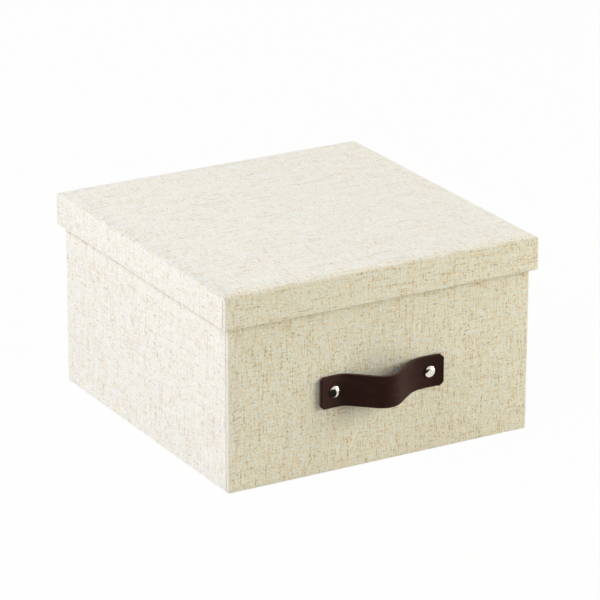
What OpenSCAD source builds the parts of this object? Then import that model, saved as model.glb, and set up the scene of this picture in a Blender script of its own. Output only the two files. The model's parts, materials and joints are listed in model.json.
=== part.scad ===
// Photo storage box: a board tray covered in linen, a lift-off lid and a riveted leather pull.
// Millimetres, +Z up. The pull is on the front, which faces -Y.
// The origin is the middle of the base, on the surface that the box stands on.

/* [Tray] */
// Outside width of the covered tray, across the front
body_w = 316; // [260:1:400]
// Outside depth of the covered tray, front to back
body_d = 318.5; // [260:0.5:400]
// Height of the tray's covered rim above the surface that the box stands on
body_h = 187.5; // [160:0.5:240]
// Thickness of the tray's boards
board_t = 2.5; // [1.5:0.1:3.5]

/* [Lid] */
// Height of the lid over its covering, from the lower edge of the skirt to the top
lid_h = 33.5; // [24:0.5:60]
// Thickness of the lid's boards
lid_board_t = 3; // [2:0.1:4]
// Play between the tray and the inside of the lid's skirt, on each side
lid_gap = 1.9; // [0.5:0.1:3]
// Radius of the lid's top edges over the covering
lid_r = 4.5; // [2:0.1:8]

/* [Covering and lining] */
// Thickness of the linen covering
cover_t = 0.4; // [0.2:0.05:0.7]
// Radius of the upright edges over the covering
edge_r = 2; // [1.2:0.1:3]
// Radius of the tray's foot and of both rims over the covering
hem_r = 1.2; // [0.8:0.1:1.6]
// Depth of the covering that is turned over the tray's rim to the inside
turn_in = 20; // [8:1:40]
// Depth of the covering that is turned up inside the lid's skirt
lid_turn_in = 15; // [6:1:20]
// Width of the covering that is turned under the tray
turn_under = 16; // [8:1:30]
// Gap at the covering's seams, beside the corners
seam_w = 0.5; // [0.3:0.1:1]
// Thickness of the sheet under the base
base_t = 0.3; // [0.2:0.05:0.6]
// Margin between the edge of the tray and the sheet under its base
base_margin = 4; // [2:0.5:7]
// Thickness of the lining paper
lining_t = 0.3; // [0.2:0.05:0.6]
// Thickness of the tape that stays the corners of the boards
stay_t = 0.25; // [0.1:0.05:0.4]
// Width of each leg of the corner tape
stay_leg = 18; // [10:1:30]
// Distance of the corner tape from the ends of its edge
stay_margin = 6; // [3:0.5:8]

/* [Partition] */
// Thickness of the partition's board
part_t = 2; // [1:0.1:3]
// Height of the partition above the lined floor
part_h = 140; // [80:1:145]
// Length of the flanges that glue the partition to the front and back
flange_l = 30; // [15:1:38]
// Inside radius of the partition's folds
fold_r = 1; // [0.5:0.1:2]

/* [Leather pull] */
// Length of the pull from end to end, as it sits on the front
strap_l = 128; // [118:1:150]
// Width of the leather
strap_w = 30; // [22:0.5:36]
// Thickness of the leather
strap_t = 3.2; // [2:0.1:4]
// Height of the pull's middle line above the surface that the box stands on
strap_z = 78.5; // [50:0.5:110]
// Finger room between the front and the crown of the pull
bow_rise = 25.5; // [18:0.5:30]
// Place of the crown along the pull, from its middle (negative is to the left)
crown_x = -7.5; // [-12:0.5:-2]
// Radius of the crown of the pull, at the middle of the leather
crown_r = 15.5; // [12:0.5:20]
// Radius of the bend at the pull's left foot, at the middle of the leather
left_foot_r = 9; // [6:0.5:14]
// Radius of the bend at the pull's right foot, at the middle of the leather
right_foot_r = 33; // [20:0.5:36]
// Flat leather between a rivet's head and the foot of the bow
foot_flat = 0.5; // [0.2:0.1:3]
// Cut of the leather's corners
corner_cut = 3.4; // [1:0.1:6]
// Distance between the two rivets
rivet_pitch = 100; // [98:0.5:104]
// Diameter of the rivets' domed heads
rivet_head_d = 12; // [8:0.5:14]
// Height of the rivets' domed heads
rivet_head_h = 3; // [1.5:0.1:4]
// Diameter of the rivets' posts
rivet_post_d = 4; // [3:0.1:5]
// Diameter of the rivets' backs, inside the tray
rivet_back_d = 11; // [8:0.5:14]
// Thickness of the rivets' backs
rivet_back_t = 1.8; // [1.2:0.1:3]
// Clearance around the posts, on the radius
post_play = 0.1; // [0.05:0.05:0.2]

/* [Hidden] */
$fn = 128;
past = 1;               // how far a cut runs past the face that it opens
rivet_rim = 0.6;        // straight rim under the rivets' domes
rivet_seat = 0.5;       // wall left over the end of a post, inside a rivet's back
flank_lap = 0.01;       // how far the pull's straight flanks reach into the discs of its bends

// Tray: the board walls stand round the floor, on the covering that is turned under.
tray_z = base_t + cover_t;
wall_h = body_h - cover_t - tray_z;
wall_w = body_w - 2 * cover_t;
wall_d = body_d - 2 * cover_t;
inner_w = wall_w - 2 * board_t;
inner_d = wall_d - 2 * board_t;
floor_z = tray_z + board_t;
room_w = inner_w - 2 * lining_t;
room_d = inner_d - 2 * lining_t;
room_z = floor_z + lining_t;

// Lid: its lined top lies on the tray's rim, and the skirt hangs round the tray with lid_gap of play.
skirt_in_w = body_w + 2 * (lid_gap + cover_t);
skirt_in_d = body_d + 2 * (lid_gap + cover_t);
skirt_w = skirt_in_w + 2 * lid_board_t;
skirt_d = skirt_in_d + 2 * lid_board_t;
lid_w = skirt_w + 2 * cover_t;
lid_d = skirt_d + 2 * cover_t;
panel_z = body_h + lining_t;
lid_top = panel_z + lid_board_t + cover_t;
lid_z = lid_top - lid_h;
skirt_z = lid_z + cover_t;
skirt_h = panel_z - skirt_z;

// Pull: the bow starts beside the rivets. On each side (-1 is left) a straight flank touches the foot's arc
// and the crown's arc, which lie on opposite sides of it.
bow_half = (rivet_pitch - rivet_head_d) / 2 - foot_flat;
front_y = -body_d / 2;
grip = strap_t + cover_t + board_t + lining_t;
post_l = grip + rivet_back_t - rivet_seat;

function foot_r(side) = side < 0 ? left_foot_r : right_foot_r;
function flank_slope(side) =
    let (span = bow_half - side * crown_x, radii = crown_r + foot_r(side), over = radii - bow_rise)
    asin(radii / norm([span, over])) - atan2(over, span);

LINEN = "#DCD8C2";
BOARD = "#B9B1A2";
LINING = "#E9E5D8";
TAPE = "#B08D5E";
LEATHER = "#3A2722";
NICKEL = "#C9C7C0";

// Outlines and shapes that repeat

// A rectangle centred on the origin, with round corners.
module round_rect(w, d, r) {
    square([w - 2 * r, d], center = true);
    square([w, d - 2 * r], center = true);
    for (x = [-1, 1], y = [-1, 1])
        translate([x * (w / 2 - r), y * (d / 2 - r)]) circle(r);
}

// A rectangle that stands on the X axis, with one radius at its foot and another at its top.
module edge_profile(w, h, low_r, high_r) {
    translate([-w / 2, low_r]) square([w, h - low_r - high_r]);
    translate([low_r - w / 2, 0]) square([w - 2 * low_r, h / 2]);
    translate([high_r - w / 2, h / 2]) square([w - 2 * high_r, h / 2]);
    for (x = [-1, 1]) {
        translate([x * (w / 2 - low_r), low_r]) circle(low_r);
        translate([x * (w / 2 - high_r), h - high_r]) circle(high_r);
    }
}

// A block that stands on z = 0, with its upright, lower and upper edges rounded.
module soft_block(w, d, h, upright_r, low_r, high_r) {
    intersection() {
        translate([0, 0, -past]) linear_extrude(h + 2 * past) round_rect(w, d, upright_r);
        rotate([90, 0, 0]) linear_extrude(d + 2 * past, center = true) edge_profile(w, h, low_r, high_r);
        rotate([90, 0, 90]) linear_extrude(w + 2 * past, center = true) edge_profile(d, h, low_r, high_r);
    }
}

// A block centred in plan that stands on z = 0.
module slab(w, d, h) {
    translate([-w / 2, -d / 2, 0]) cube([w, d, h]);
}

// A square band of wall t, measured inwards from w by d.
module band(w, d, t, h) {
    linear_extrude(h) difference() {
        square([w, d], center = true);
        square([w - 2 * t, d - 2 * t], center = true);
    }
}

// Four strips of tape folded round the upright edges of a block of boards.
module corner_tape(w, d, h, r) {
    translate([0, 0, stay_margin]) linear_extrude(h - 2 * stay_margin) intersection() {
        difference() {
            round_rect(w, d, r);
            round_rect(w - 2 * stay_t, d - 2 * stay_t, r - stay_t);
        }
        for (x = [-1, 1], y = [-1, 1])
            translate([x * w / 2, y * d / 2]) square(2 * stay_leg, center = true);
    }
}

// The front (side = -1) or back (side = 1) board of a block: it runs the full width.
module long_board(w, d, h, t, side) {
    translate([0, side * (d - t) / 2, 0]) slab(w, t, h);
}

// The left (side = -1) or right (side = 1) board of a block: it stands between the long boards.
module short_board(w, d, h, t, side) {
    translate([side * (w - t) / 2, 0, 0]) slab(t, d - 2 * t, h);
}

// Straight bores for the rivets' posts, through the front from outside to inside.
module rivet_bores() {
    at_rivets() translate([0, 0, -post_l]) cylinder(r = rivet_post_d / 2 + post_play, h = post_l + past);
}

// Places children at each rivet, with z = 0 on the outside of the leather and +Z away from the box.
module at_rivets() {
    for (side = [-1, 1])
        translate([side * rivet_pitch / 2, front_y - strap_t, strap_z]) rotate([90, 0, 0]) children();
}

// Tray

// The space that the tray's boards fill, as one block.
module tray_block() {
    translate([0, 0, tray_z])
        soft_block(wall_w, wall_d, wall_h, edge_r - cover_t, hem_r - cover_t, hem_r - cover_t);
}

module tray_tape() {
    translate([0, 0, tray_z]) corner_tape(wall_w, wall_d, wall_h, edge_r - cover_t);
}

module body_floor_board() {
    color(BOARD) translate([0, 0, tray_z]) slab(inner_w, inner_d, board_t);
}

module body_long_board(side) {
    color(BOARD) difference() {
        intersection() {
            tray_block();
            translate([0, 0, tray_z]) long_board(wall_w, wall_d, wall_h, board_t, side);
        }
        tray_tape();
        if (side < 0) rivet_bores();
    }
}

module body_short_board(side) {
    color(BOARD) difference() {
        intersection() {
            tray_block();
            translate([0, 0, tray_z]) short_board(wall_w, wall_d, wall_h, board_t, side);
        }
        tray_tape();
    }
}

module body_corner_stays() {
    color(TAPE) tray_tape();
}

// One strip of linen round the four walls, turned in over the rim and turned under the base.
// Its ends meet on the left side, one board's thickness behind the front edge.
module body_side_cover() {
    color(LINEN) difference() {
        union() {
            difference() {
                translate([0, 0, base_t])
                    soft_block(body_w, body_d, body_h - base_t, edge_r, hem_r, hem_r);
                tray_block();
                slab(body_w - 2 * turn_under, body_d - 2 * turn_under, tray_z + past);
                translate([0, 0, body_h - 2 * cover_t])
                    slab(inner_w - 2 * cover_t, inner_d - 2 * cover_t, 2 * cover_t + past);
            }
            translate([0, 0, body_h - turn_in]) band(inner_w, inner_d, cover_t, turn_in);
        }
        translate([-body_w / 2 - past, front_y + cover_t + board_t, 0])
            cube([cover_t + 2 * past, seam_w, body_h + past]);
        rivet_bores();
    }
}

// The sheet under the base, let into the window between the turned-under edges.
module body_base_sheet() {
    color(LINING) {
        slab(body_w - 2 * base_margin, body_d - 2 * base_margin, base_t);
        slab(body_w - 2 * turn_under, body_d - 2 * turn_under, tray_z);
    }
}

// Lining paper round the walls, from the floor up to the turned-in linen.
module body_wall_lining() {
    color(LINING) difference() {
        translate([0, 0, floor_z]) band(inner_w, inner_d, lining_t, body_h - turn_in - floor_z);
        rivet_bores();
    }
}

module body_floor_lining() {
    color(LINING) translate([0, 0, floor_z]) slab(room_w, room_d, lining_t);
}

// A board folded to a flange at each end, which parts two rows of prints.
module partition() {
    fold_out = fold_r + part_t;
    reach = room_d / 2;
    color(BOARD) translate([-part_t / 2, 0, room_z]) linear_extrude(part_h) {
        translate([0, fold_out - reach]) square([part_t, 2 * (reach - fold_out)]);
        for (side = [-1, 1]) scale([1, side]) {
            translate([fold_out, reach - part_t]) square([flange_l - fold_out, part_t]);
            translate([fold_out, reach - fold_out]) intersection() {
                difference() {
                    circle(fold_out);
                    circle(fold_r);
                }
                translate([-fold_out, 0]) square(fold_out);
            }
        }
    }
}

// Leather pull

// The space behind the pull's bow, out to a surface that lies a beyond the middle of the leather.
// The crown is a disc, and discs cut the feet from the shoulders below the flanks.
module bow_space(a) {
    crown = [crown_x, strap_t / 2 + bow_rise - crown_r];
    low_y = -2 * crown_r;
    function foot(side) = [side * bow_half, strap_t / 2 + foot_r(side)];
    function outward(side) = [side * sin(flank_slope(side)), cos(flank_slope(side))];
    function flank_top(side) = crown + (crown_r + a - flank_lap) * outward(side);
    function flank_end(side) = foot(side) - (foot_r(side) - a - flank_lap) * outward(side);
    translate(crown) circle(crown_r + a);
    difference() {
        polygon([
            [-bow_half, low_y], [bow_half, low_y], foot(1), flank_end(1), flank_top(1), crown,
            flank_top(-1), flank_end(-1), foot(-1)
        ]);
        for (side = [-1, 1]) translate(foot(side)) circle(foot_r(side) - a);
    }
}

// The pull seen from above, with Y away from the front: flat, bow, flat.
module strap_profile() {
    difference() {
        bow_space(strap_t / 2);
        bow_space(-strap_t / 2);
    }
    for (side = [-1, 1])
        translate([side * (strap_l / 2 + bow_half) / 2, strap_t / 2])
            square([strap_l / 2 - bow_half, strap_t], center = true);
}

// The pull seen from the front: a band with its four corners cut off.
module strap_outline() {
    x = strap_l / 2;
    z = strap_w / 2;
    polygon([
        [x - corner_cut, z], [corner_cut - x, z], [-x, z - corner_cut], [-x, corner_cut - z],
        [corner_cut - x, -z], [x - corner_cut, -z], [x, corner_cut - z], [x, z - corner_cut]
    ]);
}

module handle_strap() {
    color(LEATHER) difference() {
        translate([0, front_y, strap_z]) intersection() {
            rotate([180, 0, 0]) linear_extrude(strap_w + 2 * past, center = true) strap_profile();
            rotate([90, 0, 0]) translate([0, 0, -past])
                linear_extrude(bow_rise + strap_t + 2 * past) strap_outline();
        }
        rivet_bores();
    }
}

// A disc on z = 0 with a short straight rim under a dome.
module domed_disc(d, h) {
    dome_h = h - rivet_rim;
    dome_r = (d * d / 4 + dome_h * dome_h) / (2 * dome_h);
    rotate_extrude() intersection() {
        translate([0, h - dome_r]) circle(dome_r);
        square([d / 2, h]);
    }
}

// Domed heads on posts that pass through the leather and the front.
module handle_rivets() {
    color(NICKEL) at_rivets() {
        domed_disc(rivet_head_d, rivet_head_h);
        translate([0, 0, -post_l]) cylinder(d = rivet_post_d, h = post_l + rivet_rim);
    }
}

// Backs that close on the posts inside the tray.
module rivet_backs() {
    color(NICKEL) difference() {
        at_rivets() translate([0, 0, -grip]) rotate([180, 0, 0]) domed_disc(rivet_back_d, rivet_back_t);
        rivet_bores();
    }
}

// Lid

// The space that the lid's boards fill, as one block.
module lid_block() {
    translate([0, 0, skirt_z])
        soft_block(skirt_w, skirt_d, lid_h - 2 * cover_t, edge_r - cover_t, hem_r - cover_t, lid_r - cover_t);
}

module lid_tape() {
    translate([0, 0, skirt_z]) corner_tape(skirt_w, skirt_d, skirt_h, edge_r - cover_t);
}

module lid_top_board() {
    color(BOARD) intersection() {
        lid_block();
        translate([0, 0, panel_z]) slab(lid_w, lid_d, lid_board_t + past);
    }
}

module lid_long_board(side) {
    color(BOARD) difference() {
        intersection() {
            lid_block();
            translate([0, 0, skirt_z]) long_board(skirt_w, skirt_d, skirt_h, lid_board_t, side);
        }
        lid_tape();
    }
}

module lid_short_board(side) {
    color(BOARD) difference() {
        intersection() {
            lid_block();
            translate([0, 0, skirt_z]) short_board(skirt_w, skirt_d, skirt_h, lid_board_t, side);
        }
        lid_tape();
    }
}

module lid_corner_stays() {
    color(TAPE) lid_tape();
}

// One sheet of linen over the top and down the four sides, turned up inside the skirt.
// The left and right flaps end one board's thickness short of the corners.
module lid_cover() {
    color(LINEN) difference() {
        union() {
            difference() {
                translate([0, 0, lid_z]) soft_block(lid_w, lid_d, lid_h, edge_r, hem_r, lid_r);
                lid_block();
                translate([0, 0, lid_z - past])
                    slab(skirt_in_w - 2 * cover_t, skirt_in_d - 2 * cover_t, 2 * cover_t + past);
            }
            translate([0, 0, lid_z]) band(skirt_in_w, skirt_in_d, cover_t, lid_turn_in);
        }
        for (x = [-1, 1], y = [-1, 1])
            translate([x * (lid_w - cover_t) / 2, y * (skirt_d - seam_w) / 2 - y * lid_board_t, lid_z - past])
                slab(cover_t + 2 * past, seam_w, lid_h - lid_r + past);
    }
}

// Lining paper round the inside of the skirt, above the turned-up linen.
module lid_skirt_lining() {
    color(LINING) translate([0, 0, lid_z + lid_turn_in])
        band(skirt_in_w, skirt_in_d, lining_t, panel_z - lid_z - lid_turn_in);
}

module lid_top_lining() {
    color(LINING) translate([0, 0, body_h])
        slab(skirt_in_w - 2 * lining_t, skirt_in_d - 2 * lining_t, lining_t);
}

body_floor_board();
body_long_board(-1);  // body_front_board
body_long_board(1);  // body_back_board
body_short_board(-1);  // body_left_board
body_short_board(1);  // body_right_board
body_corner_stays();
body_side_cover();
body_base_sheet();
body_wall_lining();
body_floor_lining();
partition();
handle_strap();
handle_rivets();
rivet_backs();
lid_top_board();
lid_long_board(-1);  // lid_front_board
lid_long_board(1);  // lid_back_board
lid_short_board(-1);  // lid_left_board
lid_short_board(1);  // lid_right_board
lid_corner_stays();
lid_cover();
lid_skirt_lining();
lid_top_lining();
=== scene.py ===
import json
import math

import bpy
import numpy as np
from mathutils import Matrix, Vector


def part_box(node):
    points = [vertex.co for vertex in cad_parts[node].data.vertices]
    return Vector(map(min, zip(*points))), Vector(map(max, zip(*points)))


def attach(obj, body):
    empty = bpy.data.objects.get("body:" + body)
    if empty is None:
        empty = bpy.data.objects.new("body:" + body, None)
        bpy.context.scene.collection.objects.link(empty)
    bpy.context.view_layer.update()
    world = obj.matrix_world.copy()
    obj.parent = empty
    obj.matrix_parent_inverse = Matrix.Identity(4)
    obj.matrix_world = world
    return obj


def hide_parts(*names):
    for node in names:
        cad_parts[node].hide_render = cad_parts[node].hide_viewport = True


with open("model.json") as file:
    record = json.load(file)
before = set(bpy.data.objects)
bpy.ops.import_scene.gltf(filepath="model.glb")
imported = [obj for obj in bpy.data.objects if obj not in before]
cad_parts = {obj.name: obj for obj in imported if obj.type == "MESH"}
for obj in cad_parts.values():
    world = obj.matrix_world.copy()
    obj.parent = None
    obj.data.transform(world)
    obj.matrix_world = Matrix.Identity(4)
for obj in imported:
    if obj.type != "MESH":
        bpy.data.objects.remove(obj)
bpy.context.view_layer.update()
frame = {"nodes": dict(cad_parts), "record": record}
mm = 0.001
print("frame loaded:", len(frame["nodes"]), "nodes")


# Puts a camera, a mesh or a lamp into the scene.
def intoScene(name, data):
    thing = bpy.data.objects.new(name, data)
    bpy.context.scene.collection.objects.link(thing)
    return thing


# Camera, at the photograph's place and angle

cameraView = {
    "azimuth": -29.9515,         # degrees round the box, 0 looks along +Y
    "elevation": 20.3853,        # degrees above the horizon
    "roll": 0.1936,              # degrees
    "place": (-1605.2921 * mm, -2797.9716 * mm, 1303.0929 * mm),
    "lens": 220.716,             # in mm, as the sensor's width
    "sensor": 36,
    "farthest": 50,              # metres that it sees
}


# Right and up are turned about the view axis by the roll.
def makeCamera():
    a, e, r = (math.radians(cameraView[k]) for k in ("azimuth", "elevation", "roll"))
    back = Vector((math.sin(a) * math.cos(e), -math.cos(a) * math.cos(e), math.sin(e)))
    level = Vector((math.cos(a), math.sin(a), 0))
    upright = back.cross(level)
    right = math.cos(r) * level + math.sin(r) * upright
    up = math.cos(r) * upright - math.sin(r) * level
    camera = intoScene("camera", bpy.data.cameras.new("camera"))
    turn = Matrix((right, up, back)).transposed().to_4x4()
    camera.matrix_world = Matrix.Translation(cameraView["place"]) @ turn
    camera.data.sensor_width = cameraView["sensor"]
    camera.data.lens = cameraView["lens"]
    camera.data.clip_end = cameraView["farthest"]
    bpy.context.scene.camera = camera


makeCamera()
print("camera placed")


# Shader helpers

# Sets each named input of a node to a value, or links it to a socket.
def feed(tree, node, inputs):
    for key, value in inputs.items():
        if isinstance(value, bpy.types.NodeSocket):
            tree.links.new(value, node.inputs[key])
        else:
            node.inputs[key].default_value = value


# A new node with these settings and inputs.
def put(tree, kind, settings=None, inputs=None):
    node = tree.nodes.new(kind)
    for key, value in (settings or {}).items():
        setattr(node, key, value)
    feed(tree, node, inputs or {})
    return node


def calc(tree, operation, a, b=0.0):
    return put(tree, "ShaderNodeMath", {"operation": operation}, {0: a, 1: b}).outputs[0]


def plus(tree, a, b):
    return calc(tree, "ADD", a, b)


def times(tree, a, b):
    return calc(tree, "MULTIPLY", a, b)


def vectorCalc(tree, operation, inputs):
    return put(tree, "ShaderNodeVectorMath", {"operation": operation}, inputs).outputs[0]


def vector(tree, x, y):
    return put(tree, "ShaderNodeCombineXYZ", None, {0: x, 1: y}).outputs[0]


# Smooth step from 0 at low to 1 at high.
def step(tree, value, low, high):
    inputs = {"Value": value, "From Min": low, "From Max": high}
    settings = {"interpolation_type": "SMOOTHSTEP"}
    return put(tree, "ShaderNodeMapRange", settings, inputs).outputs["Result"]


# Straight from low, where the value is 0, to high, where it is full.
def between(tree, value, low, high, full=1.0):
    inputs = {"Value": value, "From Max": full, "To Min": low, "To Max": high}
    return put(tree, "ShaderNodeMapRange", None, inputs).outputs["Result"]


def mixColour(tree, factor, a, b, blend="MIX"):
    node = put(tree, "ShaderNodeMix", {"data_type": "RGBA", "blend_type": blend})
    for key, value in (("Factor_Float", factor), ("A_Color", a), ("B_Color", b)):
        socket = next(s for s in node.inputs if s.identifier == key)
        if isinstance(value, bpy.types.NodeSocket):
            tree.links.new(value, socket)
        else:
            socket.default_value = value
    return next(s for s in node.outputs if s.identifier == "Result_Color")


# Multiplies a colour by a level of light.
def lit(tree, tint, level):
    grey = put(tree, "ShaderNodeCombineColor", None, {k: level for k in range(3)}).outputs[0]
    return mixColour(tree, 1.0, tint, grey, "MULTIPLY")


# Noise whose grains are size wide along each axis of the given coordinates.
def grain(tree, coords, size, detail=2.0, rough=0.5, shift=(0, 0, 0)):
    scale = tuple(1 / s for s in size)
    placed = put(tree, "ShaderNodeMapping", {"vector_type": "POINT"},
                 {"Vector": coords, "Scale": scale, "Location": shift}).outputs[0]
    return put(tree, "ShaderNodeTexNoise", None,
               {"Vector": placed, "Scale": 1.0, "Detail": detail, "Roughness": rough}).outputs[0]


# A normal bent by that height, for a bump of (strength, distance).
def bumped(tree, bump, height):
    inputs = {"Strength": bump[0], "Distance": bump[1], "Height": height}
    return put(tree, "ShaderNodeBump", None, inputs).outputs[0]


def objectPlace(tree):
    return put(tree, "ShaderNodeTexCoord").outputs["Object"]


# A mask that the piece's mesh carries, 0 on a piece without it.
def ownMask(tree, name):
    return put(tree, "ShaderNodeAttribute", {"attribute_name": name}).outputs["Fac"]


def startMaterial(name):
    material = bpy.data.materials.new(name)
    material.use_nodes = True
    tree = material.node_tree
    return material, tree, tree.nodes["Principled BSDF"]


def rgb(*values):
    return (*values, 1.0)


# Linen, read on the sheet's own map in metres: the warp runs along V and the weft along U

linen = {
    "sage": rgb(0.825, 0.870, 0.785),
    "cream": rgb(0.840, 0.750, 0.485),
    "honey": rgb(0.54, 0.355, 0.07),
    "tan": rgb(0.46, 0.270, 0.012),
    "bark": rgb(0.17, 0.075, 0.012),
    "seam": rgb(0.45, 0.27, 0.10),
    # painted highlight on the rounded corners
    "pale": rgb(0.95, 0.925, 0.83),
    "pitch": 0.65 * mm,          # between threads
    "drift": 1.6 * mm,           # how far threads stray from straight
    "driftLength": 30 * mm,      # and over which length
    "laneStep": 17.31,           # between the noise of one lane of threads and the next
    "laneRough": 0.72,           # roughness of that noise
    "warp": {"length": 34 * mm, "tan": (0.525, 0.675), "shift": 3.7},   # of tones, and which are tan
    "weft": {"length": 16 * mm, "tan": (0.54, 0.695), "shift": 8.2},
    "toneDetail": 5.0,
    "streakWidth": 1.15 * mm,    # of a lane, and so of tan streaks
    "under": 0.5,                # share of a streak that shows where its threads dip under others
    "dotLength": 1.9 * mm,       # of dots that break a streak
    "dotShift": 40,              # from a lane's tone to its dots
    "dotDetail": 1.0,
    "dotTone": (0.36, 0.62),
    "fleckTone": (0.68, 0.76),   # dots that are dark flecks
    "fleckPlace": (0.48, 0.62),  # tone of the lane where they lie
    "fleckShare": 0.9,
    "ownTone": 2.2,              # how far a thread's own tone moves it from sage to cream
    "speckle": (0.8, 0.20),      # differences between single crossings, in hue and in light
    "mottle": (2.0 * mm, 13 * mm),     # width and length of soft streaks from sage to cream
    "mottleShare": 2.2,
    "mottleShifts": ((5.1, 1.3, 0), (2.4, 6.2, 0)),
    "honeyTone": (0.595, 0.77),  # where soft streaks turn from cream to honey
    "honeyShare": 0.80,
    "bands": (7 * mm, 70 * mm, 1.0),
    "bandShift": (0.7, 2.2, 0),
    "bandTan": 0.10,             # how much more tan one band has than another
    "bandHue": 2.0,              # and how far that moves it from sage to cream
    "worn": (2.5 * mm, 2.5 * mm, 1.0),     # size of patches along the lid's top edge, of wear and painted shade
    "wornTone": (0.35, 0.65),
    "wornShare": 0.8,            # of tan in them
    "cornerHighlightShare": 0.7,            # painted highlight along the rounded corners
    "weave": (0.6, 0.4),         # height from the upper thread alone, and from both threads
    "gap": (0.93, 0.45),         # light left between threads, and the height that has it all
    "slub": (1.7 * mm, 9 * mm),  # width and length of thick stretches
    "weaveShare": 0.2,           # of the weave in the bump, beside thick stretches
    "bump": (0.8, 0.6 * mm),     # strength and distance
    "roughness": 0.9,
    "specular": 0.12,
    "sheen": (1.0, 0.8),         # weight and roughness
}


# The sheet's map, shifted by soft noise so that no thread runs quite straight.
def strayedSheet(tree):
    sheet = put(tree, "ShaderNodeUVMap", {"uv_map": "sheet"}).outputs[0]
    noise = put(tree, "ShaderNodeTexNoise", None,
                {"Vector": sheet, "Scale": 1 / linen["driftLength"], "Detail": 1.0}).outputs["Color"]
    drift = vectorCalc(tree, "SUBTRACT", {0: noise, 1: (0.5, 0.5, 0.5)})
    drift = vectorCalc(tree, "SCALE", {0: drift, "Scale": 2 * linen["drift"]})
    return vectorCalc(tree, "ADD", {0: sheet, 1: drift})


# Tone along a lane of threads: each lane has its own noise, which changes over the given length.
def laneTone(tree, lane, along, length, shift, detail):
    ownLane = plus(tree, times(tree, lane, linen["laneStep"]), shift)
    place = vector(tree, ownLane, calc(tree, "DIVIDE", along, length))
    inputs = {"Vector": place, "Scale": 1.0, "Detail": detail, "Roughness": linen["laneRough"]}
    return put(tree, "ShaderNodeTexNoise", {"noise_dimensions": "2D"}, inputs).outputs[0]


# Noise drawn out along the warp, and noise drawn out along the weft.
def alongThreads(tree, cloth, size, detail, rough=0.5, shifts=((0, 0, 0), (0, 0, 0))):
    wide, long = size
    sizes = (wide, long, 1.0), (long, wide, 1.0)
    return [grain(tree, cloth, s, detail, rough, shift) for s, shift in zip(sizes, shifts)]


# Shares of tan streaks and dark flecks in both threads, and the own tone of the thread on top.
def threadShares(tree, u, v, onTop, bandTan):
    tan, flecks, tones = 0.0, 0.0, 0.0
    for look, over, along, top in zip((linen["warp"], linen["weft"]), (u, v), (v, u), onTop):
        lane = calc(tree, "FLOOR", calc(tree, "DIVIDE", over, linen["streakWidth"]))
        tone = laneTone(tree, lane, along, look["length"], look["shift"], linen["toneDetail"])
        dotShift = look["shift"] + linen["dotShift"]
        dots = laneTone(tree, lane, along, linen["dotLength"], dotShift, linen["dotDetail"])
        isTan = step(tree, plus(tree, tone, bandTan), *look["tan"])
        isTan = times(tree, isTan, step(tree, dots, *linen["dotTone"]))
        hasFlecks = step(tree, tone, *linen["fleckPlace"])
        isFleck = times(tree, step(tree, dots, *linen["fleckTone"]), hasFlecks)
        tan = plus(tree, tan, times(tree, isTan, between(tree, top, linen["under"], 1.0)))
        flecks = calc(tree, "MAXIMUM", flecks, isFleck)
        tones = plus(tree, tones, times(tree, calc(tree, "SUBTRACT", tone, 0.5), top))
    return tan, flecks, tones


# Height of a plain weave: a sine across the upper thread of each crossing, and the product of the sines
# across both threads, so that the upper one is round and dips at its ends.
def weaveHeight(tree, across, onTop):
    waves = [calc(tree, "ABSOLUTE", calc(tree, "SINE", times(tree, a, math.pi))) for a in across]
    upper = plus(tree, times(tree, waves[0], onTop[0]), times(tree, waves[1], onTop[1]))
    ofUpper, ofBoth = linen["weave"]
    return plus(tree, times(tree, upper, ofUpper), times(tree, times(tree, *waves), ofBoth))


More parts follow.
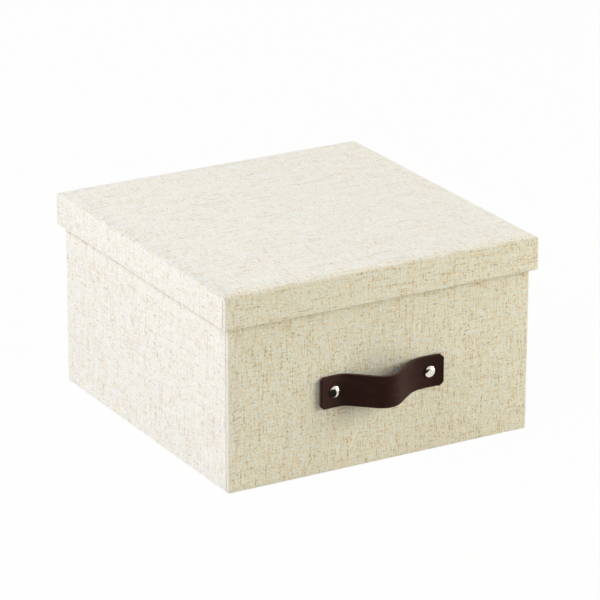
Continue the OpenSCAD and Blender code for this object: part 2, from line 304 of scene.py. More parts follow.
def linenMaterial():
    material, tree, shader = startMaterial("linen")
    cloth = strayedSheet(tree)
    u, v = put(tree, "ShaderNodeSeparateXYZ", None, {0: cloth}).outputs[:2]

    # number of each thread, and which of the two lies on top where they cross
    across = [calc(tree, "DIVIDE", w, linen["pitch"]) for w in (u, v)]
    numbers = [calc(tree, "FLOOR", a) for a in across]
    warpOnTop = calc(tree, "FLOORED_MODULO", plus(tree, *numbers), 2.0)
    onTop = [warpOnTop, calc(tree, "SUBTRACT", 1.0, warpOnTop)]
    bands = grain(tree, cloth, linen["bands"], 2.0, 0.5, linen["bandShift"])
    bandTan = times(tree, calc(tree, "SUBTRACT", bands, 0.5), linen["bandTan"])
    tan, flecks, tones = threadShares(tree, u, v, onTop, bandTan)

    # each crossing lies between sage and cream by chance, by the tone of its upper thread, and by the
    # soft streaks and bands that it is in
    chance = put(tree, "ShaderNodeTexWhiteNoise", {"noise_dimensions": "2D"},
                 {"Vector": vector(tree, *numbers)}).outputs
    inHue, inLight = linen["speckle"]
    hue = between(tree, chance["Value"], 0.5 - inHue / 2, 0.5 + inHue / 2)
    hue = plus(tree, hue, times(tree, tones, linen["ownTone"]))
    soft = alongThreads(tree, cloth, linen["mottle"], 3.0, 0.6, linen["mottleShifts"])
    mottle = calc(tree, "SUBTRACT", plus(tree, *soft), 1.0)
    hue = plus(tree, hue, times(tree, mottle, linen["mottleShare"]))
    hue = plus(tree, hue, times(tree, bandTan, linen["bandHue"]))
    honey = step(tree, plus(tree, calc(tree, "MAXIMUM", *soft), bandTan), *linen["honeyTone"])
    tint = mixColour(tree, hue, linen["sage"], linen["cream"])
    tint = mixColour(tree, times(tree, honey, linen["honeyShare"]), tint, linen["honey"])
    tint = mixColour(tree, tan, tint, linen["tan"])
    tint = mixColour(tree, times(tree, flecks, linen["fleckShare"]), tint, linen["bark"])
    # tan patches along the lid's top edge: wear, and painted shade on its rounding
    patches = step(tree, grain(tree, cloth, linen["worn"], 3.0, 0.6), *linen["wornTone"])
    worn = times(tree, ownMask(tree, "worn"), times(tree, patches, linen["wornShare"]))
    tint = mixColour(tree, worn, tint, linen["tan"])

    # light differs from crossing to crossing and falls between threads
    light = put(tree, "ShaderNodeSeparateColor", None, {0: chance["Color"]}).outputs[1]
    tint = lit(tree, tint, between(tree, light, 1 - inLight, 1 + inLight))
    weave = weaveHeight(tree, across, onTop)
    gapLight, gapHeight = linen["gap"]
    tint = lit(tree, tint, between(tree, weave, gapLight, 1.0, gapHeight))
    # painted highlight: the rounded corners are paled
    cornerHighlight = times(tree, ownMask(tree, "cornerHighlight"), linen["cornerHighlightShare"])
    tint = mixColour(tree, cornerHighlight, tint, linen["pale"])
    tint = mixColour(tree, ownMask(tree, "seam"), tint, linen["seam"])

    # thick stretches of both threads stand higher
    slubs = plus(tree, *alongThreads(tree, cloth, linen["slub"], 1.0))
    height = plus(tree, times(tree, weave, linen["weaveShare"]), slubs)
    sheenWeight, sheenRoughness = linen["sheen"]
    feed(tree, shader, {
        "Base Color": tint,
        "Normal": bumped(tree, linen["bump"], height),
        "Roughness": linen["roughness"],
        "Specular IOR Level": linen["specular"],
        "Sheen Weight": sheenWeight,
        "Sheen Roughness": sheenRoughness,
    })
    return material


# Paper and board: fine fibres over a faint mottle, on Object coordinates

papers = {
    "lining_paper": {"base": rgb(0.80, 0.775, 0.70), "fibre": rgb(0.66, 0.62, 0.53), "share": 0.30},
    "base_paper": {"base": rgb(0.74, 0.72, 0.65), "fibre": rgb(0.58, 0.54, 0.46), "share": 0.35},
    "partition_board": {"base": rgb(0.76, 0.73, 0.64), "fibre": rgb(0.58, 0.53, 0.43), "share": 0.40},
    "board": {"base": rgb(0.40, 0.37, 0.33), "fibre": rgb(0.22, 0.20, 0.18), "share": 0.60},
    "corner_tape": {"base": rgb(0.45, 0.31, 0.17), "fibre": rgb(0.30, 0.19, 0.09), "share": 0.50},
}
paperGrain = {
    "fibreSize": (2.2 * mm, 0.7 * mm, 1.1 * mm),
    "fibreTone": (0.5, 0.75),
    "mottle": (38 * mm, 38 * mm, 38 * mm),
    "mottleShift": (3.0, 1.0, 2.0),
    "mottleShare": 0.3,
    "bump": (0.25, 0.08 * mm),   # strength and distance
    "roughness": 0.85,
    "specular": 0.25,
}


def paperMaterial(name):
    look = papers[name]
    material, tree, shader = startMaterial(name)
    place = objectPlace(tree)
    fibre = grain(tree, place, paperGrain["fibreSize"], 4.0, 0.65)
    mottle = grain(tree, place, paperGrain["mottle"], 2.0, 0.5, paperGrain["mottleShift"])
    level = step(tree, fibre, *paperGrain["fibreTone"])
    level = plus(tree, level, times(tree, mottle, paperGrain["mottleShare"]))
    feed(tree, shader, {
        "Base Color": mixColour(tree, times(tree, level, look["share"]), look["base"], look["fibre"]),
        "Normal": bumped(tree, paperGrain["bump"], fibre),
        "Roughness": paperGrain["roughness"],
        "Specular IOR Level": paperGrain["specular"],
    })
    return material


# Leather: fine pebbled grain on the faces, cut edges lighter as raw leather and by painted highlight,
# a paler left end, and a dark line beside the ends

leather = {
    "brown": rgb(0.0310, 0.0136, 0.0112),
    "worn": rgb(0.0420, 0.0202, 0.0164),
    # colour towards which the left end of the strap pales
    "paleLeftEnd": rgb(0.0500, 0.0262, 0.0215),
    "arris": rgb(0.0150, 0.0066, 0.0056),
    # cut edges: raw leather, made lighter still as painted highlight
    "edge": rgb(0.075, 0.047, 0.036),
    "wornSize": (18 * mm, 18 * mm, 7 * mm),
    "wornTone": (0.45, 0.75),
    "pebble": 0.9 * mm,
    "crease": 0.18,              # half width of the creases between pebbles, of a pebble
    "fine": (0.35 * mm, 0.35 * mm, 0.35 * mm),
    "fineShare": 0.5,            # of the finest grain in the bump, beside the creases
    "bump": (0.35, 0.06 * mm),   # strength and distance
    "roughness": (0.42, 0.55),   # from least to most worn
    "specular": 0.04,
}


def leatherMaterial():
    material, tree, shader = startMaterial("leather")
    place = objectPlace(tree)
    cells = put(tree, "ShaderNodeTexVoronoi", {"feature": "DISTANCE_TO_EDGE"},
                {"Vector": place, "Scale": 1 / leather["pebble"]}).outputs["Distance"]
    crease = step(tree, cells, 0.0, leather["crease"])
    worn = grain(tree, place, leather["wornSize"], 4.0, 0.6)
    tint = mixColour(tree, step(tree, worn, *leather["wornTone"]), leather["brown"], leather["worn"])
    # lighter cut edges, partly raw leather and partly painted highlight; the paler left end; the dark line
    # beside the ends
    for key in ("edge", "paleLeftEnd", "arris"):
        tint = mixColour(tree, ownMask(tree, key), tint, leather[key])
    fine = grain(tree, place, leather["fine"], 3.0, 0.6)
    height = plus(tree, crease, times(tree, fine, leather["fineShare"]))
    feed(tree, shader, {
        "Base Color": tint,
        "Normal": bumped(tree, leather["bump"], height),
        "Roughness": between(tree, worn, *leather["roughness"]),
        "Specular IOR Level": leather["specular"],
    })
    return material


# Nickel plate with a faint haze of handling

nickel = {
    "bright": rgb(0.80, 0.755, 0.66),
    "haze": rgb(0.62, 0.575, 0.49),
    "hazeSize": (2.5 * mm, 2.5 * mm, 2.5 * mm),
    "hazeTone": (0.45, 0.75),
    "roughness": (0.10, 0.24),   # from least to most haze
}


def nickelMaterial():
    material, tree, shader = startMaterial("nickel")
    haze = grain(tree, objectPlace(tree), nickel["hazeSize"], 3.0, 0.6)
    isHazy = step(tree, haze, *nickel["hazeTone"])
    feed(tree, shader, {
        "Base Color": mixColour(tree, isHazy, nickel["bright"], nickel["haze"]),
        "Roughness": between(tree, haze, *nickel["roughness"]),
        "Metallic": 1.0,
    })
    return material


finishes = {name: paperMaterial(name) for name in papers}
finishes.update(linen=linenMaterial(), leather=leatherMaterial(), nickel=nickelMaterial())
print("materials made:", ", ".join(finishes))


# Mesh helpers

sharpFrom = 50                   # degrees between faces, from which an edge stays sharp
leastRadius = 0.15 * mm          # of the corners of a ring


# Quads between neighbouring rows and columns of a grid, closed round its columns, and round its rows
# if asked.
def gridQuads(rows, columns, closedRows=False):
    r = np.arange(rows if closedRows else rows - 1)[:, None]
    c = np.arange(columns)[None, :]
    nextRow, nextColumn = (r + 1) % rows, (c + 1) % columns
    near = (r * columns + c, r * columns + nextColumn)
    far = (nextRow * columns + nextColumn, nextRow * columns + c)
    return np.stack(np.broadcast_arrays(*near, *far), axis=-1).reshape(-1, 4)


# Triangles from one row of a closed grid to a single point.
def fanTriangles(row, columns, point):
    c = np.arange(columns)
    ring = row * columns
    return np.stack([ring + c, ring + (c + 1) % columns, np.full(columns, point)], axis=-1)


# Faces of a grid whose first and last rows are closed by two points that follow the grid's own.
def cappedQuads(rows, columns):
    after = rows * columns
    return [gridQuads(rows, columns), fanTriangles(0, columns, after)[:, ::-1],
            fanTriangles(rows - 1, columns, after + 1)]


# Sum of the tetrahedra between the origin and each triangle of the faces.
def signedVolume(points, faces):
    total = 0.0
    for block in faces:
        p = points[block]
        for k in range(1, block.shape[1] - 1):
            total += np.einsum("ij,ij->i", p[:, 0], np.cross(p[:, k], p[:, k + 1])).sum()
    return total / 6


# Turns arrays into a smooth mesh that faces outwards, with its sheet map and masks, on a body.
def addPiece(name, body, finish, points, faces, replaced, sheetMap=None, masks=None):
    mesh = bpy.data.meshes.new(name)
    mesh.from_pydata(points.reshape(-1, 3), [], [f for block in faces for f in block.tolist()])
    corners = np.empty(len(mesh.loops), np.int32)
    mesh.loops.foreach_get("vertex_index", corners)
    if sheetMap is not None:
        layer = mesh.uv_layers.new(name="sheet")
        layer.data.foreach_set("uv", sheetMap.reshape(-1, 2)[corners].astype(np.float32).ravel())
    for key, values in (masks or {}).items():
        attribute = mesh.attributes.new(key, "FLOAT", "POINT")
        attribute.data.foreach_set("value", values.astype(np.float32).ravel())
    mesh.validate()
    if signedVolume(points.reshape(-1, 3), faces) < 0:
        mesh.flip_normals()
    mesh.polygons.foreach_set("use_smooth", np.ones(len(mesh.polygons), bool))
    mesh.set_sharp_from_angle(angle=math.radians(sharpFrom))
    piece = intoScene(name, mesh)
    piece.data.materials.append(finishes[finish])
    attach(piece, body)
    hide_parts(*replaced)
    print("piece:", name, len(mesh.polygons), "faces")


# Points along a line, without its last one.
def run(start, end, count):
    t = np.arange(count)[:, None] / count
    return np.array(start) * (1 - t) + np.array(end) * t


# Points along an arc, without its last one. Angles in degrees, one radius or two for an ellipse.
def arc(centre, radius, first, last, count):
    a = np.radians(first + (last - first) * np.arange(count) / count)
    return np.array(centre) + np.array(radius) * np.stack([np.cos(a), np.sin(a)], axis=-1)


# Unit normals on the left of a line of points.
def leftNormals(line):
    t = np.gradient(line, axis=0)
    n = np.stack([-t[:, 1], t[:, 0]], axis=-1)
    return n / np.linalg.norm(n, axis=1, keepdims=True)


# Way along a line from its first point to each of its points.
def wayAlong(line):
    return np.concatenate([[0], np.cumsum(np.linalg.norm(np.diff(line, axis=0), axis=1))])


# Places from -1 to 1, closer together near both ends.
def closeAtEnds(count):
    return np.sin(np.linspace(-1, 1, count) * math.pi / 2)


# Columns round a rectangle with rounded corners, counter-clockwise from the left end of the front.
# Each has a place along its sides, from -1 to 1 in X and Y, and the angle of its normal.
def ringColumns(sideX, sideY, cornerCount):
    corner = np.linspace(0, 90, cornerCount)[1:-1]
    one, cornerOnes = np.ones_like, np.ones(len(corner))
    px = [sideX, cornerOnes, one(sideY), cornerOnes, -sideX, -cornerOnes, -one(sideY), -cornerOnes]
    py = [-one(sideX), -cornerOnes, sideY, cornerOnes, one(sideX), cornerOnes, -sideY, -cornerOnes]
    turn = [-90 * one(sideX), corner - 90, 0 * sideY, corner, 90 * one(sideX), corner + 90,
            180 * one(sideY), corner + 180]
    return np.concatenate(px), np.concatenate(py), np.radians(np.concatenate(turn))


# The corner radius of a ring grows with its offset, and never falls below the least one.
def cornerRadius(radius, profile):
    return np.maximum(radius + profile[:, :1], leastRadius)


# Carries a profile of (offset outwards, height) round the ring: row by row, the rectangle grows by the
# offset, with corners of radius r. A bulge moves points along their normals.
def ringPoints(columns, halfX, halfY, r, profile, bulge=0.0):
    px, py, turn = columns
    offset = profile[:, :1]
    x = px * (halfX + offset - r) + (r + bulge) * np.cos(turn)
    y = py * (halfY + offset - r) + (r + bulge) * np.sin(turn)
    return np.stack(np.broadcast_arrays(x, y, profile[:, 1:]), axis=-1)


# 1 inside low to high, falling to 0 over soft on both sides.
def window(value, low, high, soft):
    t = np.clip(np.minimum(value - low, high - value) / soft + 1, 0, 1)
    return t * t * (3 - 2 * t)


# 1 up to high, falling to 0 over soft beyond it.
def below(value, high, soft):
    return window(value, -math.inf, high, soft)


# What the linens of tray and lid have in common

clothEdges = {
    "corner": 2.0 * mm,          # radius of the upright edges
    "hem": 1.2 * mm,             # radius at the rim and the foot
    "cover": 0.4 * mm,           # thickness with its glue
    "thick": 0.36 * mm,          # of the cloth itself
    "seamHalf": 0.23 * mm,       # half the width of a seam's groove
    "seamDepth": 0.18 * mm,
    "seamTint": (0.25 * mm, 0.35 * mm),                  # half the width of its brown line, and the fade
    "seamColumns": (-0.04 * mm, 0.04 * mm, 0.22 * mm),   # of points, from the groove's edge outwards
    "columns": (33, 9),          # along a side, and round a corner
}


# Columns round a linen: closer together near the ends of each side, and with some more on the left and
# right, at both edges of a seam that lies seamFrom from the front or back.
def linenColumns(look, halfY):
    count, cornerCount = look["columns"]
    fromMiddle = look["seamHalf"] + np.array(look["seamColumns"])
    fromEnd = look["seamFrom"] - look["corner"] + np.concatenate([-fromMiddle, fromMiddle])
    bySeam = 1 - fromEnd / (halfY - look["corner"])
    sideY = np.unique(np.concatenate([closeAtEnds(count), bySeam, -bySeam]))
    return ringColumns(closeAtEnds(count), sideY, cornerCount)


# Linen round the tray: one strip, turned in over the rim and under the base, with a seam on the left

trayLinen = {
    **clothEdges,
    "board": 2.5 * mm,
    "turnIn": 20 * mm,
    "turnUnder": 16 * mm,
    "seamFrom": 3.15 * mm,       # from the front left edge to the middle of the seam
    "bow": 0.15 * mm,            # how far a side swells at its middle
}


# The profile runs up the inside, over the rim, down the side and under the base. Offset by the cloth's
# thickness it comes back, and the closed loop is carried round the tray. Each side swells by
# bow cos(pi/2 place) sin(pi height), and a square groove is sunk at the seam. On the map U is the way
# round the tray, which jumps at the seam, and V the way along the profile. The corners are paled by the
# root of |sin(2 turn)|, a painted highlight on their rounding.
def makeTrayLinen():
    low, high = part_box("body_side_cover")
    t, hem, cover = trayLinen, trayLinen["hem"], trayLinen["cover"]
    inside = -2 * cover - t["board"]
    foot, rim = low.z, high.z
    outer = np.concatenate([
        run((inside, rim - t["turnIn"]), (inside, rim - cover), 10),
        arc((inside + cover, rim - cover), cover, 180, 90, 5),
        run((inside + cover, rim), (-hem, rim), 4),
        arc((-hem, rim - hem), hem, 90, 0, 7),
        run((0, rim - hem), (0, foot + hem), 36),
        arc((-hem, foot + hem), hem, 0, -90, 7),
        run((-hem, foot), (-t["turnUnder"], foot), 6),
        [(-t["turnUnder"], foot)],
    ])
    inner = outer - leftNormals(outer) * t["thick"]
    profile = np.concatenate([outer, inner[::-1]])
    isSide = profile[:, :1] > -hem
    isOutside = isSide & (np.arange(len(profile))[:, None] < len(outer))

    columns = linenColumns(t, high.y)
    px, py, turn = columns
    onLeft = np.isclose(turn, math.pi)
    place = np.where(np.abs(py) < 1, py, px)                # along the column's own side
    rise = np.clip((profile[:, 1:] - foot) / (rim - foot), 0, 1)
    bulge = isSide * t["bow"] * np.cos(math.pi / 2 * place) * np.sin(math.pi * rise)
    pastSeam = py * (high.y - t["corner"]) + high.y - t["seamFrom"]     # towards the back
    groove = isOutside & onLeft & (np.abs(pastSeam) < t["seamHalf"])
    points = ringPoints(columns, high.x, high.y, cornerRadius(t["corner"], profile), profile,
                        bulge - t["seamDepth"] * groove)

    ring = ringPoints(columns, high.x, high.y, t["corner"], np.zeros((1, 2)))[0]
    way = wayAlong(np.concatenate([ring, ring[:1]]))
    isAfterSeam = (onLeft | (turn > math.pi)) & (pastSeam < 0)
    wayRound = np.where(isAfterSeam, way[:-1] - way[-1], way[:-1])
    down = wayAlong(outer)
    down = np.concatenate([down, down[::-1]])
    sheetMap = np.stack(np.broadcast_arrays(wayRound, -down[:, None]), axis=-1)
    masks = {"seam": isOutside * onLeft * below(np.abs(pastSeam), *t["seamTint"]),
             "cornerHighlight": isOutside * np.sqrt(np.abs(np.sin(2 * turn)))}
    addPiece("trayLinen", "box", "linen", points, [gridQuads(*points.shape[:2], True)],
             ["body_side_cover"], sheetMap, masks)


makeTrayLinen()


# Linen over the lid: one sheet with its four flaps folded down and turned up inside the skirt

lidLinen = {
    **clothEdges,
    "topEdge": (13 * mm, 4.5 * mm),    # how far the rounding of the top edge reaches inwards and down
    "topCorner": 0.4,            # growth of the corner radius over that rounding
    "board": 3.0 * mm,
    "turnUp": 15 * mm,
    "seamFrom": 3.65 * mm,       # from the front and back edges to the middle of each seam
    "backSeam": 0.3,             # how much the seams at the back show, of those at the front
    "flare": 0.35 * mm,          # the skirt's lower edge stands out by this
    "pillow": 0.2 * mm,          # fall of the top towards its edges
    "pillowWidth": 14 * mm,
    "edgeWearAndShade": (0.4, 0.05),     # wear and painted shade along the front and back edges, and along the sides
    "rings": 26,                 # from the middle of the top to its edge
    "ringPower": 2.2,            # brings the rings closer together near the edge
}


# The profile runs over the top edge as a quarter of an ellipse, down the skirt and up its inside.
def lidProfile(foot, top):
    t, hem, cover = lidLinen, lidLinen["hem"], lidLinen["cover"]
    reachIn, reachDown = t["topEdge"]
    inside = -2 * cover - t["board"]
    return np.concatenate([
        arc((-reachIn, top - reachDown), (reachIn, reachDown), 90, 0, 18),
        run((0, top - reachDown), (0, foot + hem), 14),
        arc((-hem, foot + hem), hem, 0, -90, 7),
        run((-hem, foot), (inside + cover, foot), 4),
        arc((inside + cover, foot + cover), cover, -90, -180, 5),
        run((inside, foot + cover), (inside, foot + t["turnUp"]), 8),
        [(inside, foot + t["turnUp"])],
    ])


# Each flap lies flat on the map, beyond its own edge of the top. The front and back ones go on round the
# corners, by radius times the angle turned and by the way past the corner, as far as the seams.
def flapMap(columns, halfX, halfY, profile, radius, isSideFlap):
    px, py, turn = columns
    down = wayAlong(profile)[:, None] - lidLinen["topEdge"][0]
    straightX, straightY = (half + profile[:, :1] - radius for half in (halfX, halfY))
    angle = np.where(np.abs(py) < 1, math.pi / 2, np.arccos(np.clip(np.abs(np.sin(turn)), 0, 1)))
    pastCorner = radius * angle + (1 - np.abs(py)) * straightY
    endX = px * straightX + np.sign(px) * pastCorner
    alongX = np.where(isSideFlap, np.sign(px) * (halfX + down), endX)
    alongY = np.where(isSideFlap, py * straightY, np.sign(py) * (halfY + down))
    return np.stack([alongY, alongX], axis=-1)


# The top is the upper ring of the profile, scaled down to its middle. It falls towards its edges by
# pillow, in a smooth step over pillowWidth from the outline. The profile is carried round the
# lid, and offset by the cloth's thickness it comes back. Over the top edge the corner radius grows by
# topCorner times the way inwards. The skirt stands out by flare (1 - height), with a square groove at
# each seam. On the map the warp runs along X. The top edge is tanned by sin(pi fall^2), where fall goes
# from 0 to 1 down its rounding: wear, and painted shade on the rounding. The corners of the skirt are
# paled by the root of |sin(2 turn)|, a painted highlight.
def makeLidLinen():
    low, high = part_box("lid_cover")
    t = lidLinen
    foot, top = low.z, high.z
    outer = lidProfile(foot, top)
    inner = outer - leftNormals(outer) * t["thick"]
    offset, height = outer[:, :1], outer[:, 1:]
    reachDown = t["topEdge"][1]
    skirtTop = top - reachDown
    onTopEdge = height > skirtTop
    rise = np.clip((height - foot) / (skirtTop - foot), 0, 1)
    isSkirt = (offset > -t["hem"]) & (rise < 1)

    columns = linenColumns(t, high.y)
    py, turn = columns[1:]
    onSide = np.isclose(np.abs(np.cos(turn)), 1)
    fromEdge = high.y - np.abs(py) * (high.y - t["corner"])
    fromSeam = np.abs(fromEdge - t["seamFrom"])
    groove = isSkirt & onSide & (fromSeam < t["seamHalf"])
    bulge = isSkirt * t["flare"] * (1 - rise) - t["seamDepth"] * groove
    topRadius = t["corner"] - t["topCorner"] * offset
    radius, backRadius = (np.where(onTopEdge, topRadius, cornerRadius(t["corner"], line))
                          for line in (outer, inner))
    skirt = ringPoints(columns, high.x, high.y, radius, outer, bulge)
    skirtBack = ringPoints(columns, high.x, high.y, backRadius, inner)

    share = np.linspace(0, 1, t["rings"] + 1)[1:-1, None, None]
    share = 1 - (1 - share) ** t["ringPower"]
    middle, under = np.array([0, 0, top]), np.array([0, 0, t["thick"]])
    topRings = share * skirt[0] + (1 - share) * middle
    rows = np.concatenate([topRings, skirt])
    flat = rows[:len(topRings) + 1]               # as far as the rounding
    inwards = np.minimum(high.x - np.abs(flat[..., 0]), high.y - np.abs(flat[..., 1]))
    flat[..., 2] -= t["pillow"] * below(inwards, 0, t["pillowWidth"])
    rowsBack = np.concatenate([topRings - under, skirtBack])
    rings = np.concatenate([rows, rowsBack[::-1]])
    points = np.concatenate([rings.reshape(-1, 3), [middle, middle - under]])

    isSideFlap = onSide & (fromEdge > t["seamFrom"])
    flaps = flapMap(columns, high.x, high.y, outer, radius, isSideFlap)
    sheet = np.concatenate([topRings[..., 1::-1], flaps])
    sheetMap = np.concatenate([sheet.reshape(-1, 2), sheet[::-1].reshape(-1, 2), np.zeros((2, 2))])
    seam = isSkirt * onSide * below(fromSeam, *t["seamTint"]) * np.where(py > 0, t["backSeam"], 1.0)
    # wear and painted shade over the rounding of the top edge
    fall = onTopEdge * (top - height) / reachDown
    wearAndShadeAtEnds, wearAndShadeAtSides = t["edgeWearAndShade"]
    worn = np.sin(math.pi * fall ** 2) * np.where(onSide, wearAndShadeAtSides, wearAndShadeAtEnds)
    # painted highlight on the rounded corners of the skirt
    cornerHighlight = isSkirt * np.sqrt(np.abs(np.sin(2 * turn)))
    onTop, onBack = np.zeros(topRings.shape[:2]), np.zeros(rowsBack[..., 0].size + 2)
    masks = {key: np.append(np.concatenate([onTop, values]), onBack)
             for key, values in (("seam", seam), ("worn", worn), ("cornerHighlight", cornerHighlight))}
    addPiece("lidLinen", "lid", "linen", points, cappedQuads(*rings.shape[:2]), ["lid_cover"],
             sheetMap, masks)


makeLidLinen()


# Board under the lid's top. Its edge is part of an ellipse, a cover's thickness inside the linen's, down
# to the board's lower face, and its corner radius grows as the linen's does.
def makeLidBoard():
    low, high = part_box("lid_top_board")
    reach = [r - lidLinen["cover"] for r in lidLinen["topEdge"]]
    centre = (-reach[0], high.z - reach[1])
    lowest = math.degrees(math.asin((low.z - centre[1]) / reach[1]))
    profile = np.concatenate([arc(centre, reach, 90, lowest, 14), arc(centre, reach, lowest, lowest, 1)])
    columns = ringColumns(np.linspace(-1, 1, 5), np.linspace(-1, 1, 5), 9)
    radius = lidLinen["corner"] - lidLinen["cover"] - lidLinen["topCorner"] * profile[:, :1]
    rings = ringPoints(columns, high.x, high.y, radius, profile)
    points = np.concatenate([rings.reshape(-1, 3), [(0, 0, high.z), (0, 0, low.z)]])
    addPiece("lidTopBoard", "lid", "board", points, cappedQuads(*rings.shape[:2]), ["lid_top_board"])


makeLidBoard()


# Leather pull: a strap bowed off the front between two rivets, its corners cut

pull = {
    "bowHalf": 43.5 * mm,        # from the middle to where the bow meets the front
    "rise": 25.5 * mm,           # of the bow off the front
    "crownX": -5.8 * mm,         # the bow leans to the left
    "crown": 15.5 * mm,          # radii at the middle of the leather
    "leftFoot": 9 * mm,
    "rightFoot": 33 * mm,
    "ease": 10 * mm,             # length over which one bend turns into the next
    "steps": 1201,               # in which the slope of each half is summed up
    "wider": 0.25 * mm,          # the leather is wider than its solid by this on both edges
    "clip": 3.4 * mm,            # of the corners
    "edge": 0.45 * mm,           # rounding of the cut edges
    "rawEdgeAndHighlight": (0.1 * mm, 0.2 * mm),  # width of their paler leather, raw and with painted highlight, and the fade
    "arris": (0.35 * mm, 0.8 * mm, 0.3 * mm),    # from an end to a dark line, its width and fade
    "paleLeftEnd": (54 * mm, 20 * mm),      # the end on the left is paler beyond this, and the fade
    "rivetHalf": 50 * mm,        # from the middle to each rivet
    "curl": (1.0 * mm, 2.2 * mm),      # how far the free ends on the left and right stand off the front
    "spare": 1.0 * mm,           # length that the curl takes up on the left
    "dimple": 1.0 * mm,          # how far a rivet dishes the leather
    "dimpleWidth": 9 * mm,
}


# Middle line of one half of the pull, from the crown outwards, by summing up its slope. The slope grows
# as distance / crown radius, stays at the flank's own, and falls to the foot as distance / foot radius.
# A weighted mean over the ease on both sides runs the bends into each other.
def pullHalf(span, foot, reach):
    p = pull
    radii = p["crown"] + foot
    over = radii - p["rise"]
    flank = math.asin(radii / math.hypot(span, over)) - math.atan2(over, span)
    straight = math.sqrt(span ** 2 + over ** 2 - radii ** 2)
    bow = radii * flank + straight
    s = np.linspace(0, bow + reach - span, p["steps"])
    lean = np.clip(np.minimum(np.minimum(s / p["crown"], flank), (bow - s) / foot), 0, None)
    near = max(int(p["ease"] / (s[1] - s[0])), 1)
    mirrored = np.concatenate([-lean[near:0:-1], lean, np.zeros(near)])
    weights = np.hanning(2 * near + 1)
    lean = np.convolve(mirrored, weights / weights.sum(), "valid")
    middle = (lean[1:] + lean[:-1]) / 2
    out = np.concatenate([[0], np.cumsum(np.cos(middle))])
    fall = np.concatenate([[0], np.cumsum(np.sin(middle))])
    return s, out / out[-1] * reach, p["rise"] * (1 - fall / fall[-1]), lean


# The two halves as one line from the left end to the right: length, X, distance from the front, slope.
# Past the rivets the line lifts by curl times the square of the distance, and its slope with it.
def pullLine(halfLength, thick):
    p = pull
    left = pullHalf(p["bowHalf"] + p["crownX"], p["leftFoot"], halfLength + p["spare"] + p["crownX"])
    right = pullHalf(p["bowHalf"] - p["crownX"], p["rightFoot"], halfLength - p["crownX"])
    s = np.concatenate([-left[0][:0:-1], right[0]])
    x = np.concatenate([-left[1][:0:-1], right[1]]) + p["crownX"]
    d = np.concatenate([left[2][:0:-1], right[2]]) + thick / 2
    lean = np.concatenate([left[3][:0:-1], -right[3]])
    free = halfLength - p["rivetHalf"]
    pastRivet = np.maximum(np.abs(x) - p["rivetHalf"], 0) / free
    curl = np.where(x < 0, *p["curl"])
    d = d + curl * pastRivet ** 2
    lean = lean + np.sign(x) * 2 * curl / free * pastRivet
    return s - s[0], x, d, lean


# A cross-section with rounded edges, carried along the middle line. It narrows at the clipped ends and
# thins along a quarter circle at the cut ends. Round each rivet its outer face sinks by
# dimple exp(-(distance / width)^2).
def makePull():
    low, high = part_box("handle_strap")
    p, edge = pull, pull["edge"]
    halfLength, halfWidth, front = high.x, (high.z - low.z) / 2 + p["wider"], high.y
    thick = front - low.y - p["rise"]
    s, lineX, lineD, lineLean = pullLine(halfLength, thick)
    ends = np.concatenate([edge * (1 - np.cos(np.linspace(0, math.pi / 2, 5))),
                           np.linspace(edge, p["clip"], 12)[1:]])
    evenly = np.linspace(p["clip"], s[-1] - p["clip"], 181)
    places = np.unique(np.concatenate([evenly, ends, s[-1] - ends]))
    x, d, lean = (np.interp(places, s, line)[:, None] for line in (lineX, lineD, lineLean))
    fromEnd = np.minimum(places, s[-1] - places)[:, None]
    intoEdge = np.maximum(edge - fromEnd, 0)
    halfThick = thick / 2 - edge + np.sqrt(edge ** 2 - intoEdge ** 2)
    width = halfWidth - np.maximum(p["clip"] - fromEnd, 0)

    px, py, turn = ringColumns(closeAtEnds(49), np.linspace(-1, 1, 5), 7)
    across = px * (width - edge) + edge * np.cos(turn)
    out = py * (halfThick - edge) + edge * np.sin(turn)
    fromRivet = np.hypot(np.abs(x) - p["rivetHalf"], across)
    out = out - (out > 0) * p["dimple"] * np.exp(-(fromRivet / p["dimpleWidth"]) ** 2)
    isFace = out > 0
    points = np.stack([x - np.sin(lean) * out, front - d - np.cos(lean) * out,
                       (low.z + high.z) / 2 + across], axis=-1)
    caps = np.stack([points[0].mean(axis=0), points[-1].mean(axis=0)])

    fromSide = np.minimum(width - np.abs(across), fromEnd)
    arrisFrom, arrisWidth, arrisFade = p["arris"]
    paleLeftEndFrom, paleLeftEndFade = p["paleLeftEnd"]
    isRawEdgeAndHighlight = below(fromSide, *p["rawEdgeAndHighlight"])
    isArris = isFace * window(fromEnd, arrisFrom, arrisFrom + arrisWidth, arrisFade)
    isPaleLeftEnd = isFace * below(x, -paleLeftEndFrom, paleLeftEndFade)
    masks = {"edge": np.append(isRawEdgeAndHighlight, [1, 1]), "arris": np.append(isArris, [0, 0]),
             "paleLeftEnd": np.append(isPaleLeftEnd, [0, 0])}
    addPiece("leatherPull", "box", "leather", np.concatenate([points.reshape(-1, 3), caps]),
             cappedQuads(*points.shape[:2]), ["handle_strap"], None, masks)


makePull()


# Rivets: domed heads with a rolled rim on posts, and the backs that close on the posts

rivets = {
    "headRadius": 5.8 * mm,
    "headHeight": 3.0 * mm,
    "sunk": 0.65 * mm,           # of the rim, in the leather
    "rim": 0.45 * mm,            # radius of the rolled rim
    "domeInset": 0.3,            # from the rim's outside to the dome, of the rim's radius
    "postRadius": 2.0 * mm,
    "backRadius": 5.5 * mm,
    "backHeight": 1.8 * mm,
    "backFall": 0.45,            # of that height, from the middle to the edge
    "backDimple": 0.5 * mm,
    "backDimpleWidth": 0.3125,   # of the face's radius
    "backEdge": (0.2 * mm, 0.7 * mm),  # heights at which its upright edge starts and ends
    "backBevel": 0.3 * mm,       # from that edge inwards to the face
    "turns": 64,
}


